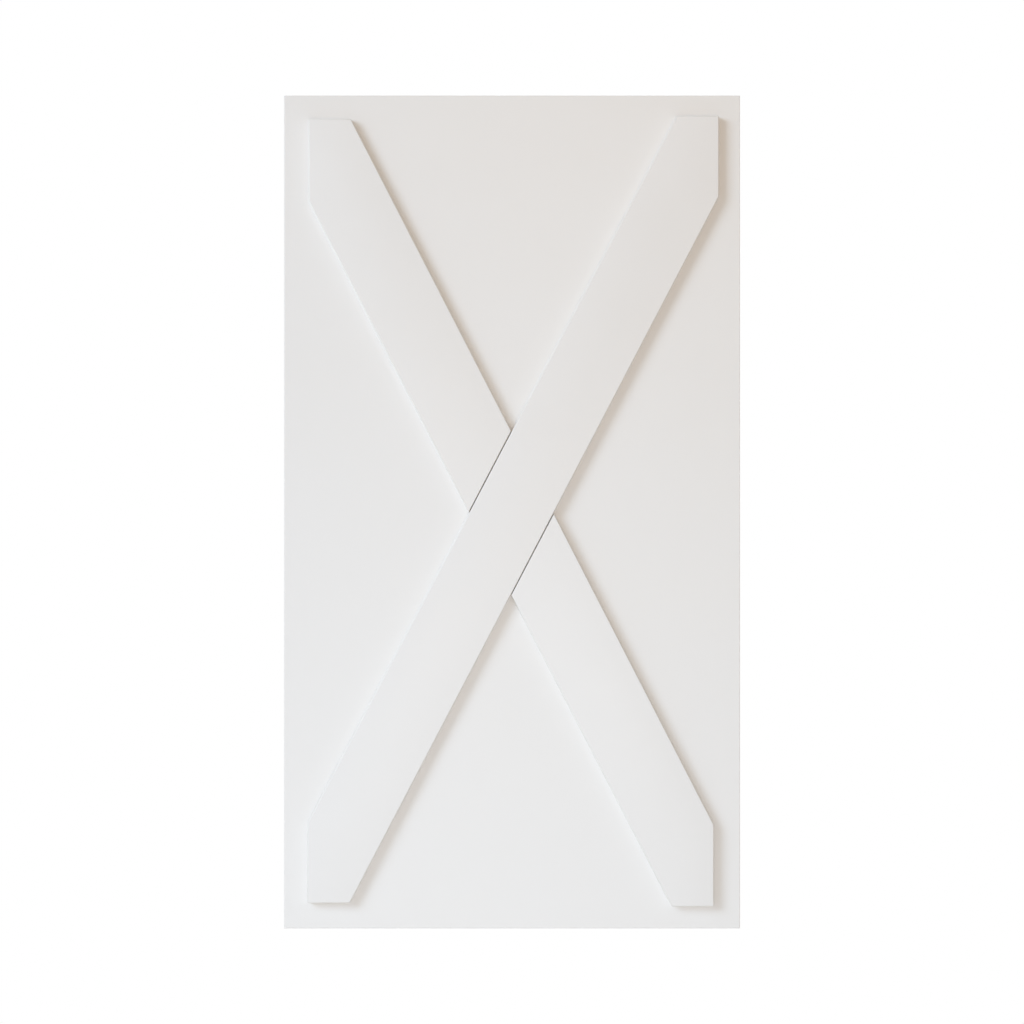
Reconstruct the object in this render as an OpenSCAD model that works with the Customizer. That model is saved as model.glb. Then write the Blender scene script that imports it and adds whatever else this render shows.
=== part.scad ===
// Overlay cupboard door: a flat leaf, a cross of three planks on its front, and three cup hinges behind.
// The leaf is drawn with its hinge edge at x = 0, its back at y = 0 and its middle height at z = 0.
// The row frame then has its origin on the seat of the middle hinge plate, at the middle of its screws.
// Sizes are in millimetres. Seen from the front, x runs right from the hinge edge, y runs away and z is up.

/* [Leaf] */
// Width of the leaf
leaf_w = 600; // [450:1:750]
// Height of the leaf
leaf_h = 1096; // [900:1:1400]
// Thickness of the leaf
leaf_t = 18; // [17:0.5:25]
// Radius of the eased edges round both faces of the leaf
leaf_ease = 1; // [0.4:0.1:2]

/* [Cross] */
// Width of each plank
plank_w = 98; // [70:0.5:120]
// Thickness of each plank
plank_t = 16; // [12:0.5:22]
// Radius of the eased edges round the front of each plank
plank_ease = 1.5; // [0.3:0.1:2]
// Distance from the right side of the leaf to the upper tip of the long plank
long_right_inset = 29; // [20:0.5:60]
// Distance from the top of the leaf to the upper end of the long plank
long_top_inset = 29; // [20:0.5:60]
// Distance from the left side of the leaf to the lower tip of the long plank
long_left_inset = 32; // [20:0.5:60]
// Distance from the bottom of the leaf to the lower end of the long plank
long_bottom_inset = 35.5; // [20:0.5:60]
// Distance from the left side of the leaf to the tip of the upper short plank
upper_left_inset = 33.5; // [20:0.5:60]
// Distance from the top of the leaf to the end of the upper short plank
upper_top_inset = 33; // [20:0.5:60]
// Distance from the right side of the leaf to the tip of the lower short plank
lower_right_inset = 35.5; // [20:0.5:60]
// Distance from the bottom of the leaf to the end of the lower short plank
lower_bottom_inset = 31; // [20:0.5:60]
// Open joint between the long plank and the butt end of each short plank
joint_gap = 1; // [0.3:0.1:2]

/* [Plank screws] */
// Diameter of the shank
plank_screw_d = 4; // [3:0.1:5]
// Diameter of the countersunk head
plank_screw_head_d = 8; // [7:0.1:9.5]
// Wood left between the tip of a screw and the front of its plank
plank_screw_cover = 5; // [3:0.5:8]
// Distance along a plank from its tip to its first screw
plank_screw_end = 110; // [80:1:160]
// Distance along a short plank from its last screw to the joint
plank_screw_butt = 60; // [40:1:120]
// Number of screws in the long plank
long_screw_count = 5; // [3:1:9]
// Number of screws in each short plank
short_screw_count = 3; // [2:1:5]

/* [Hinge cup] */
// Distance from the top and bottom of the leaf to the nearest hinge
hinge_inset = 100; // [70:1:200]
// Outer diameter of the cup
cup_d = 35; // [34:0.5:38]
// Depth of the cup below the back of the leaf
cup_depth = 13.5; // [12.5:0.1:14.5]
// Thickness of the cup's wall and floor
cup_wall = 1; // [0.7:0.1:1.3]
// Wood left between the hinge edge of the leaf and the cup
cup_tab = 4; // [3:0.1:6]
// Thickness of the cup's flange
flange_t = 1.2; // [0.8:0.1:1.6]
// Width of the flange round the mouth of the cup
flange_rim = 2; // [1.5:0.1:2.8]
// Radius of the flange's two ears
ear_r = 5.5; // [5:0.1:7]
// Half the width of an ear where it leaves the cup, at the middle of the flange
ear_root = 12; // [8:0.5:16]
// Height from one ear screw to the other
ear_spacing = 48; // [45:0.5:52]
// Distance of the ear screws from the middle of the cup, away from the hinge edge
ear_offset = 6; // [4:0.1:9.5]
// Room left round the cup in its hole
cup_gap = 0.1; // [0.05:0.01:0.2]

/* [Cup screws] */
// Diameter of the shank
cup_screw_d = 3.5; // [3:0.1:4.2]
// Diameter of the rounded head
cup_screw_head_d = 7; // [6.2:0.1:8]
// Height of the rounded head
cup_screw_head_h = 2; // [1.6:0.1:2.6]
// Wood left between the tip of a screw and the front of the leaf
cup_screw_cover = 5; // [3:0.5:7]

/* [Pivot] */
// Diameter of the pivot pin
pin_d = 3; // [2.5:0.1:3.4]
// Length of the pin held in each cheek of the cup
pin_bite = 4.5; // [3:0.1:5]
// Room round the pin where the arm turns on it
pin_play = 0.05; // [0.02:0.01:0.1]
// Steel round the pin in the arm's eye
eye_wall = 1.5; // [1.2:0.1:2]
// Room left between the arm and the cup
run_gap = 0.35; // [0.3:0.05:0.5]

/* [Arm] */
// Width of the arm's neck inside the cup
neck_w = 10; // [8:0.1:12]
// Thickness of the arm's steel
arm_t = 2.5; // [2:0.1:3]
// Inside radius of the bend in the arm's neck
bend_r = 1.5; // [1:0.1:2.5]
// Outer width of the arm's channel
arm_w = 18; // [16:0.5:20]
// Thickness of the channel's sides
channel_wall = 1.6; // [1.2:0.1:2]
// Length of the arm's channel in front of the plate screws
arm_nose = 36; // [33:0.5:37]
// Length of the arm's channel behind the plate screws
arm_tail = 24; // [23:0.5:30]
// Room between the arm's neck and the path of the leaf's edge
swing_gap = 0.45; // [0.35:0.05:1.5]

/* [Plate] */
// Thickness of the plate's base
plate_t = 2.5; // [2:0.1:3]
// Height of the plate's rail above the seat, where it meets the arm
plate_h = 6.5; // [5.5:0.1:9]
// Room between the plate's rail and the sides of the arm's channel
rail_gap = 0.4; // [0.2:0.05:1]
// Gap behind the closed leaf
door_gap = 4.5; // [4.2:0.1:6]
// Distance of the plate screws behind the front of the cupboard's side
setback = 37; // [32:0.5:45]
// Height from one plate screw hole to the other
plate_hole_spacing = 32; // [30:0.5:36]
// Diameter of the plate screw holes
plate_hole_d = 5.2; // [4.2:0.1:6.2]
// Diameter of the countersink of the plate screw holes
plate_sink_d = 8; // [7.2:0.1:9]
// Radius of the plate's wing ends
wing_r = 8; // [7:0.1:9]
// Length of the plate in front of its screws
plate_nose = 26; // [24:0.5:27]
// Length of the plate behind its screws
plate_tail = 21; // [20:0.5:22]

/* [Plate adjusters] */
// Diameter of the clamping screw
clamp_d = 5; // [4:0.1:6]
// Diameter of the clamping screw's head
clamp_head_d = 9; // [8.2:0.1:10]
// Height of the clamping screw's head
clamp_head_h = 2.8; // [2:0.1:3.5]
// Distance of the clamping screw behind the plate screws
clamp_offset = 13; // [11:0.5:14]
// Diameter of the side adjusting screw
adjuster_d = 5.6; // [5:0.1:6.4]
// Distance of the side adjusting screw in front of the plate screws
adjuster_offset = 16; // [13:0.5:19]
// Depth of the pocket in the rail that takes the foot of the side adjusting screw
pocket_depth = 1.5; // [1:0.1:2.5]
// Room round the foot of the side adjusting screw in its pocket
pocket_gap = 0.4; // [0.2:0.1:0.8]
// Height of the side adjusting screw above the arm
adjuster_rise = 0.8; // [0.4:0.1:1.5]

/* [Fits] */
// Room round a screw or a pin in the hole that holds it
hold_gap = 0.02; // [0.01:0.01:0.05]
// Depth of the drive recess in the screw heads
drive_depth = 1.2; // [0.8:0.1:1.4]
// Width of each slot of the drive recess
drive_slot = 1.1; // [0.8:0.1:1.4]

/* [Hidden] */
$fn = 64;
ease_steps = 3;
past = 1;
paint = [0.91, 0.9, 0.88];
nickel = [0.75, 0.74, 0.71];
zinc = [0.66, 0.67, 0.68];
steel = [0.5, 0.5, 0.51];

HINGES = ["top", "middle", "bottom"];
HINGE_PIECES = ["cup", "cup_screws", "pivot_pin", "arm", "plate", "clamp_screw", "side_adjuster"];

// Cup and pivot. The eye of the arm just clears the floor and the near wall of the cup.
cup_r = cup_d / 2;
cup_x = cup_tab + cup_r;
cavity_r = cup_r - cup_wall;
floor_y = cup_wall - cup_depth;
flange_r = cup_r + flange_rim;
eye_r = pin_d / 2 + eye_wall;
pivot_x = cup_x - sqrt(pow(cavity_r, 2) - pow(neck_w / 2, 2)) + run_gap + eye_r;
pivot_y = floor_y + run_gap + eye_r;
cheek_z = neck_w / 2 + run_gap;
cheek_r = eye_r + cup_wall;
pin_length = 2 * (cheek_z + pin_bite);

// The back corner of the leaf and the rim of the flange sweep round the pivot as the door opens.
corner_sweep = norm([pivot_x, pivot_y]);
flange_sweep = norm([pivot_x - cup_x + flange_r, flange_t - pivot_y]);
web_x = pivot_x + max(corner_sweep, flange_sweep) + swing_gap;
seat_x = web_x - plate_h;
plate_y = door_gap + setback;
base_x = seat_x + plate_t;
rail_w = arm_w - 2 * channel_wall - 2 * rail_gap;
neck_y = pivot_y - eye_r;
channel_y = plate_y - arm_nose;
shoulder_y = channel_y - (arm_w - neck_w) / 2;
arm_end_y = plate_y + arm_tail;
clamp_y = plate_y + clamp_offset;
adjuster_y = plate_y - adjuster_offset;

// Screw lengths
plank_screw_length = leaf_t + plank_t - plank_screw_cover;
cup_screw_length = leaf_t - cup_screw_cover + flange_t;
clamp_length = web_x + arm_t - base_x;

// Planks, about the middle of the leaf. The middle line of a plank runs through its tip.
long_top = [leaf_w / 2 - long_right_inset, leaf_h / 2 - long_top_inset];
long_bottom = [long_left_inset - leaf_w / 2, long_bottom_inset - leaf_h / 2];
upper_tip = [upper_left_inset - leaf_w / 2, leaf_h / 2 - upper_top_inset];
lower_tip = [leaf_w / 2 - lower_right_inset, lower_bottom_inset - leaf_h / 2];
long_way = long_top - long_bottom;
short_way = lower_tip - upper_tip;

// Run of a plank's edge along a horizontal and along an upright line, from the plank's middle
function flat_run(way) = [plank_w / 2 * norm(way) / abs(way.y), 0];
function upright_run(way) = [0, plank_w / 2 * norm(way) / abs(way.x)];
function left_of(way) = [-way.y, way.x] / norm(way);
function cross2(a, b) = a.x * b.y - a.y * b.x;
function crossing(p, way, q, other) = p + way * cross2(q - p, other) / cross2(way, other);
function spread(from, to, count, first, last) = [
    for (i = [0 : count - 1])
        from + (to - from) / norm(to - from) * (first + (norm(to - from) - first - last) * i / (count - 1))
];

long_outline = [
    long_top,
    long_top - upright_run(long_way),
    long_bottom + flat_run(long_way),
    long_bottom,
    long_bottom + upright_run(long_way),
    long_top - flat_run(long_way)
];

// A butt line runs along the long plank, one joint away from it.
upper_butt_line = long_top - flat_run(long_way) + joint_gap * left_of(long_way);
lower_butt_line = long_bottom + flat_run(long_way) - joint_gap * left_of(long_way);
function butt(corner, line) = crossing(corner, short_way, line, long_way);
upper_outline = [
    upper_tip,
    upper_tip + flat_run(short_way),
    butt(upper_tip + flat_run(short_way), upper_butt_line),
    butt(upper_tip - upright_run(short_way), upper_butt_line),
    upper_tip - upright_run(short_way)
];
lower_outline = [
    lower_tip,
    lower_tip - flat_run(short_way),
    butt(lower_tip - flat_run(short_way), lower_butt_line),
    butt(lower_tip + upright_run(short_way), lower_butt_line),
    lower_tip + upright_run(short_way)
];

long_screws = spread(long_bottom, long_top, long_screw_count, plank_screw_end, plank_screw_end);
upper_screws = spread(
    upper_tip, butt(upper_tip, upper_butt_line), short_screw_count, plank_screw_end, plank_screw_butt
);
lower_screws = spread(
    lower_tip, butt(lower_tip, lower_butt_line), short_screw_count, plank_screw_end, plank_screw_butt
);
plank_screw_places = concat(long_screws, upper_screws, lower_screws);

hinge_reach = leaf_h / 2 - hinge_inset;
HINGE_Z = [hinge_reach, 0, -hinge_reach];

// Placing
module on_leaf(place) {
    translate([leaf_w / 2 + place.x, 0, place.y]) children();
}

module at_ears() {
    for (side = [-1, 1])
        translate([cup_x + ear_offset, 0, side * ear_spacing / 2]) children();
}

module at_plate_holes() {
    for (side = [-1, 1])
        translate([seat_x, plate_y, side * plate_hole_spacing / 2]) rotate([0, 90, 0]) children();
}

// Turns an outline drawn in x and z, or a shape that points up, towards the front of the leaf
module to_front() {
    rotate([90, 0, 0]) children();
}

// Turns an outline drawn in y and z so that it rises along x
module along_x() {
    rotate([90, 0, 90]) children();
}

// Boards
module eased_board(t, r, both_faces) {
    hull()
        for (i = [0 : ease_steps]) {
            drop = r * (1 - sin(90 * i / ease_steps));
            inset = r * (1 - cos(90 * i / ease_steps));
            translate([0, 0, both_faces ? drop : 0])
                linear_extrude(both_faces ? t - 2 * drop : t - drop) offset(delta = -inset) children();
        }
}

module plank(outline, screws) {
    color(paint)
        difference() {
            translate([leaf_w / 2, -leaf_t, 0])
                to_front() eased_board(plank_t, plank_ease, false) polygon(outline);
            for (place = screws)
                on_leaf(place)
                    to_front() cylinder(d = plank_screw_d + 2 * hold_gap, h = plank_screw_length);
        }
}

// Screws stand head up at the origin and point down.
module drive_recess(head_d) {
    for (turn = [0, 90])
        rotate(turn)
            translate([-head_d / 4, -drive_slot / 2, -drive_depth])
                cube([head_d / 2, drive_slot, drive_depth + past]);
}

module countersunk_body(head_d, shank_d, length) {
    sink = (head_d - shank_d) / 2;
    rotate_extrude()
        polygon([
            [0, 0],
            [head_d / 2, 0],
            [shank_d / 2, -sink],
            [shank_d / 2, shank_d - length],
            [0, -length]
        ]);
}

module countersunk_hole(head_d, shank_d, length) {
    sink = (head_d - shank_d) / 2;
    translate([0, 0, -length]) cylinder(d = shank_d, h = length + past);
    translate([0, 0, -sink]) cylinder(d1 = shank_d, d2 = head_d, h = sink);
    cylinder(d = head_d, h = past);
}

module rounded_body(head_d, head_h, shank_d, length, tip) {
    rotate_extrude()
        polygon([
            [0, head_h],
            [head_d / 4, head_h],
            [head_d * 0.4, head_h * 0.8],
            [head_d / 2, head_h * 0.4],
            [head_d / 2, 0],
            [shank_d / 2, 0],
            [shank_d / 2, tip - length],
            [shank_d / 2 - min(tip, shank_d / 2), -length],
            [0, -length]
        ]);
}

// Leaf
module cup_hole() {
    translate([cup_x, past, 0]) to_front() cylinder(r = cup_r + cup_gap, h = cup_depth + cup_gap + past);
    at_ears() translate([0, flange_t, 0])
        to_front() cylinder(d = cup_screw_d + 2 * hold_gap, h = cup_screw_length);
}

module leaf_panel() {
    color(paint)
        difference() {
            translate([leaf_w / 2, 0, 0])
                to_front() eased_board(leaf_t, leaf_ease, true) square([leaf_w, leaf_h], center = true);
            for (z = HINGE_Z)
                translate([0, 0, z]) cup_hole();
            for (place = plank_screw_places)
                on_leaf(place) rotate([-90, 0, 0])
                    countersunk_hole(
                        plank_screw_head_d + 2 * hold_gap, plank_screw_d + 2 * hold_gap, plank_screw_length
                    );
        }
}

module plank_screws() {
    color(zinc)
        for (place = plank_screw_places)
            on_leaf(place) rotate([-90, 0, 0])
                difference() {
                    countersunk_body(plank_screw_head_d, plank_screw_d, plank_screw_length);
                    drive_recess(plank_screw_head_d);
                }
}

// Hinge cup: a pot let into the leaf, with a flange on the leaf's back and two cheeks that hold the pin
module flange_outline() {
    reach = ear_spacing / 2;
    lean = asin((ear_root - ear_r) / reach);
    root = ear_root * [cos(lean), sin(lean)];
    tip = ear_r * [cos(lean), sin(lean)] + [0, reach];
    translate([cup_x, 0]) circle(flange_r);
    translate([cup_x + ear_offset, 0])
        for (side = [0, 180])
            rotate(side) {
                translate([0, reach]) circle(ear_r);
                polygon([root, tip, [-tip.x, tip.y], [-root.x, root.y]]);
            }
}

module cheeks() {
    intersection() {
        translate([cup_x, 0, 0])
            to_front() cylinder(r = cup_r - cup_wall / 2, h = cup_depth - cup_wall / 2);
        for (side = [-1, 1])
            translate([pivot_x, 0, side * (cheek_z + cup_r / 2)])
                linear_extrude(cup_r, center = true) cheek_outline();
    }
}

module cheek_outline() {
    translate([0, pivot_y]) circle(cheek_r);
    translate([-cup_r, -cup_depth]) square([cup_r + cheek_r, cup_depth + pivot_y]);
    translate([-cup_r, -cup_depth]) square([cup_r, cup_depth + pivot_y + cheek_r]);
}

module cup() {
    color(nickel)
        difference() {
            union() {
                difference() {
                    union() {
                        translate([cup_x, 0, 0]) to_front() cylinder(r = cup_r, h = cup_depth);
                        translate([0, flange_t, 0]) to_front() linear_extrude(flange_t) flange_outline();
                    }
                    translate([cup_x, flange_t + past, 0])
                        to_front() cylinder(r = cavity_r, h = cup_depth - cup_wall + flange_t + past);
                }
                cheeks();
            }
            translate([pivot_x, pivot_y, 0]) cylinder(d = pin_d + 2 * hold_gap, h = cup_d, center = true);
            at_ears() translate([0, flange_t + past, 0])
                to_front() cylinder(d = cup_screw_d + 2 * hold_gap, h = flange_t + 2 * past);
        }
}

module cup_screws() {
    color(zinc)
        at_ears() translate([0, flange_t, 0]) rotate([-90, 0, 0])
            difference() {
                rounded_body(
                    cup_screw_head_d, cup_screw_head_h, cup_screw_d, cup_screw_length, cup_screw_d
                );
                translate([0, 0, cup_screw_head_h]) drive_recess(cup_screw_head_d);
            }
}

module pivot_pin() {
    color(steel)
        translate([pivot_x, pivot_y, 0]) cylinder(d = pin_d, h = pin_length, center = true);
}

// Arm: an eye on the pin, a neck along the floor of the cup, a bend, and a channel over the plate
module neck_outline() {
    bend = [web_x - bend_r, neck_y + arm_t + bend_r];
    translate([pivot_x, pivot_y]) circle(eye_r);
    translate([pivot_x, neck_y]) square([bend.x - pivot_x, arm_t]);
    translate([web_x, bend.y]) square([arm_t, channel_y - bend.y]);
    intersection() {
        translate(bend)
            difference() {
                circle(bend_r + arm_t);
                circle(bend_r);
            }
        translate([bend.x, neck_y]) square(bend_r + arm_t);
    }
}

module channel_outline() {
    difference() {
        union() {
            translate([base_x + run_gap, -arm_w / 2]) square([web_x - base_x - run_gap, arm_w]);
            translate([web_x, channel_wall - arm_w / 2]) square([arm_t, arm_w - 2 * channel_wall]);
            translate([web_x, -arm_w / 2]) square([arm_t - channel_wall, arm_w]);
            for (side = [-1, 1])
                translate([web_x + arm_t - channel_wall, side * (arm_w / 2 - channel_wall)])
                    circle(channel_wall);
        }
        translate([seat_x, channel_wall - arm_w / 2]) square([plate_h, arm_w - 2 * channel_wall]);
    }
}

module shoulder_outline() {
    polygon([
        [shoulder_y, -neck_w / 2],
        [channel_y, -arm_w / 2 + channel_wall],
        [channel_y, arm_w / 2 - channel_wall],
        [shoulder_y, neck_w / 2]
    ]);
}

module arm() {
    color(nickel)
        difference() {
            union() {
                linear_extrude(neck_w, center = true) neck_outline();
                translate([web_x, 0, 0]) along_x() linear_extrude(arm_t) shoulder_outline();
                translate([0, arm_end_y, 0])
                    rotate([90, 0, 0]) linear_extrude(arm_end_y - channel_y) channel_outline();
            }
            translate([pivot_x, pivot_y, 0])
                cylinder(d = pin_d + 2 * pin_play, h = neck_w + 2 * past, center = true);
            translate([web_x - past, adjuster_y, 0])
                rotate([0, 90, 0]) cylinder(d = adjuster_d + 2 * hold_gap, h = arm_t + 2 * past);
            translate([web_x - past, 0, 0]) along_x() linear_extrude(arm_t + 2 * past) clamp_slot();
        }
}

// Open at the back, so that the arm slides onto the plate
module clamp_slot() {
    slot_w = clamp_d + 2 * pocket_gap;
    translate([clamp_y, 0]) circle(d = slot_w);
    translate([clamp_y, -slot_w / 2]) square([arm_end_y - clamp_y + past, slot_w]);
}

// Plate: a base with two wings for the screws into the cupboard's side, and a rail under the arm
module plate_outline() {
    translate([plate_y - plate_nose, -rail_w / 2]) square([plate_nose + plate_tail, rail_w]);
    translate([plate_y - wing_r, -plate_hole_spacing / 2]) square([2 * wing_r, plate_hole_spacing]);
    for (side = [-1, 1])
        translate([plate_y, side * plate_hole_spacing / 2]) circle(wing_r);
}

module plate() {
    color(nickel)
        difference() {
            union() {
                translate([seat_x, 0, 0]) along_x() linear_extrude(plate_t) plate_outline();
                translate([seat_x, plate_y - plate_nose, -rail_w / 2])
                    cube([plate_h, plate_nose + plate_tail, rail_w]);
            }
            at_plate_holes() {
                translate([0, 0, -past]) cylinder(d = plate_hole_d, h = plate_t + 2 * past);
                translate([0, 0, plate_t - (plate_sink_d - plate_hole_d) / 2])
                    cylinder(d1 = plate_hole_d, d2 = plate_sink_d, h = (plate_sink_d - plate_hole_d) / 2);
            }
            translate([base_x, clamp_y, 0])
                rotate([0, 90, 0]) cylinder(d = clamp_d + 2 * hold_gap, h = plate_h - plate_t + past);
            translate([web_x - pocket_depth, adjuster_y, 0])
                rotate([0, 90, 0]) cylinder(d = adjuster_d + 2 * pocket_gap, h = pocket_depth + past);
        }
}

module clamp_screw() {
    color(zinc)
        translate([web_x + arm_t, clamp_y, 0]) rotate([0, 90, 0])
            difference() {
                rounded_body(clamp_head_d, clamp_head_h, clamp_d, clamp_length, clamp_d / 6);
                translate([0, 0, clamp_head_h]) drive_recess(clamp_head_d);
            }
}

module side_adjuster() {
    length = pocket_depth + arm_t + adjuster_rise;
    color(zinc)
        translate([web_x - pocket_depth, adjuster_y, 0]) rotate([0, 90, 0])
            difference() {
                cylinder(d = adjuster_d, h = length);
                translate([0, 0, length]) drive_recess(adjuster_d);
            }
}

// The row frame
translate([-seat_x, -plate_y, 0]) {
    leaf_panel();
    plank(long_outline, long_screws);  // long_plank
    plank(upper_outline, upper_screws);  // upper_short_plank
    plank(lower_outline, lower_screws);  // lower_short_plank
    plank_screws();
    for (i = [0 : len(HINGES) - 1]) translate([0, 0, HINGE_Z[i]]) {
        cup();
        cup_screws();
        pivot_pin();
        arm();
        plate();
        clamp_screw();
        side_adjuster();
    }
}
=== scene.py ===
"""Cupboard door with a planked cross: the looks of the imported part.

The leaf and its planks carry a sprayed satin paint, and the hinges behind the leaf are plated steel.
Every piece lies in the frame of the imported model, in metres.
"""

import logging
import math
from collections.abc import Iterable, Sequence
from dataclasses import dataclass
from enum import Enum

import bmesh
import bpy
from mathutils import Matrix, Vector


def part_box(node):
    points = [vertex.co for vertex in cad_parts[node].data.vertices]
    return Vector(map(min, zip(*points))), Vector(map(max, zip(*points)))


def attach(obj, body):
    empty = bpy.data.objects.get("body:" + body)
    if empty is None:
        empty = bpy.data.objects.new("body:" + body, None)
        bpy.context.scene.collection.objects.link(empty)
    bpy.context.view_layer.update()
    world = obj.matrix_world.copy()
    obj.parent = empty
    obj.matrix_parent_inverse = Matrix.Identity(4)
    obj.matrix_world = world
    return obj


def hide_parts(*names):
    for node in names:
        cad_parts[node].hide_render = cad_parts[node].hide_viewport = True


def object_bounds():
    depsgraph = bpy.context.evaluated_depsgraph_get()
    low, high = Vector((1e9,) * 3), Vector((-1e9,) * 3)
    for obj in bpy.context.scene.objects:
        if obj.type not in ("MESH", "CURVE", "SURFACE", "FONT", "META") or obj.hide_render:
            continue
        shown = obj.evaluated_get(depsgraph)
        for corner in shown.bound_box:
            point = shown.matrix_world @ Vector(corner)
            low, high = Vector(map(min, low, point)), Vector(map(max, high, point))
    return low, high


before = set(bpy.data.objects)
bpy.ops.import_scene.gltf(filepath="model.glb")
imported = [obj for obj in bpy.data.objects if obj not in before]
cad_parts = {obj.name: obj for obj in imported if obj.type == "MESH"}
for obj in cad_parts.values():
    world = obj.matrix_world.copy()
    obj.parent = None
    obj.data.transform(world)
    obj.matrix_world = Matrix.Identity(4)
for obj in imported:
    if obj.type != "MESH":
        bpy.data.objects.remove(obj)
CAD_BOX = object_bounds()

LOG = logging.getLogger("cupboard_door")
LEAF_NODE = "leaf_panel"
MM = 0.001

Colour = tuple[float, float, float]
Point = tuple[float, float]
Outline = list[Point]
Input = bpy.types.NodeSocket | float | tuple[float, ...]

WHITE: Colour = (1.0, 1.0, 1.0)
BACK = Vector((0, 1, 0))
INWARD = Vector((1, 0, 0))

# Points lie on one line where twice their triangle's area is no more than this, in square metres.
STRAIGHT = 1e-9

# Each screw of a group was driven home to another angle.
SCREW_TURN = math.radians(37)


class Body(str, Enum):
    """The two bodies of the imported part."""

    LEAF = "leaf"
    ARMS = "hinge_arms"


class Slot(str, Enum):
    """The record's material slots."""

    PAINT = "white_paint"
    NICKEL = "nickel_plate"
    ZINC = "zinc_plate"
    STEEL = "bright_steel"


class Place(str, Enum):
    """Where a hinge sits on the leaf's hinge edge."""

    TOP = "top"
    MIDDLE = "middle"
    BOTTOM = "bottom"


class Tip(Enum):
    """How the far end of a screw is finished."""

    POINTED = "pointed"
    BLUNT = "blunt"


class Graph:
    """A shader node tree that is filled one node at a time."""

    # The Mix node gives one name to sockets of several kinds, so its colour sockets go by number.
    MIX_FACTOR = 0
    MIX_FIRST = 6
    MIX_SECOND = 7
    MIX_RESULT = 2

    def __init__(self, tree: bpy.types.NodeTree) -> None:
        """Take over a node tree and empty it."""
        self.tree = tree
        self.tree.nodes.clear()

    def add(
        self, kind: str, inputs: dict[str | int, Input] | None = None, **settings: object
    ) -> bpy.types.Node:
        """Add a node.

        Args:
            kind: The node's type name, without the ShaderNode prefix where it has that.
            inputs: Input names or numbers, with a plain value or another node's output.
            **settings: The node's own properties.

        Returns:
            The new node.
        """
        name = kind if kind.startswith("Node") else "ShaderNode" + kind
        node = self.tree.nodes.new(name)
        for key, value in settings.items():
            setattr(node, key, value)
        for key, value in (inputs or {}).items():
            self.feed(node.inputs[key], value)
        return node

    def feed(self, socket: bpy.types.NodeSocket, value: Input) -> None:
        """Link an output to a socket, or set the socket's own value.

        Args:
            socket: The input socket.
            value: Another node's output, or a plain value.
        """
        if isinstance(value, bpy.types.NodeSocket):
            self.tree.links.new(value, socket)
        else:
            socket.default_value = value

    def calculate(self, operation: str, first: Input, second: Input = 0.0) -> bpy.types.NodeSocket:
        """Return the result of a sum on one or two values."""
        return self.add("Math", {0: first, 1: second}, operation=operation).outputs["Value"]

    def mix(self, factor: Input, first: Input, second: Input) -> bpy.types.NodeSocket:
        """Return a mix of two colours, where the factor is the share of the second."""
        inputs = {self.MIX_FACTOR: factor, self.MIX_FIRST: first, self.MIX_SECOND: second}
        return self.add("Mix", inputs, data_type="RGBA").outputs[self.MIX_RESULT]

    def blend(
        self, factor: Input, first: bpy.types.Node, second: bpy.types.Node
    ) -> bpy.types.NodeSocket:
        """Return a mix of two shader nodes, where the factor is the share of the second."""
        inputs = {0: factor, 1: first.outputs[0], 2: second.outputs[0]}
        return self.add("MixShader", inputs).outputs["Shader"]

    def noise(self, place: Input, scale: Input, detail: float) -> bpy.types.NodeSocket:
        """Return the value of a noise texture."""
        return self.add("TexNoise", {"Vector": place, "Scale": scale, "Detail": detail}).outputs["Fac"]

    def span(self, value: Input, low: float, high: float) -> bpy.types.NodeSocket:
        """Return a value of 0 to 1 as one of low to high."""
        return self.add("MapRange", {"Value": value, "To Min": low, "To Max": high}).outputs["Result"]

    def ramp(self, value: Input, start: float, end: float) -> bpy.types.NodeSocket:
        """Return a smooth change from 0, where the value is at start, to 1, where it is at end."""
        limits = {"Value": value, "From Min": start, "From Max": end}
        return self.add("MapRange", limits, interpolation_type="SMOOTHSTEP").outputs["Result"]


def rgba(colour: Colour) -> tuple[float, float, float, float]:
    """Return a colour with full opacity."""
    return (*colour, 1.0)


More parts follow.
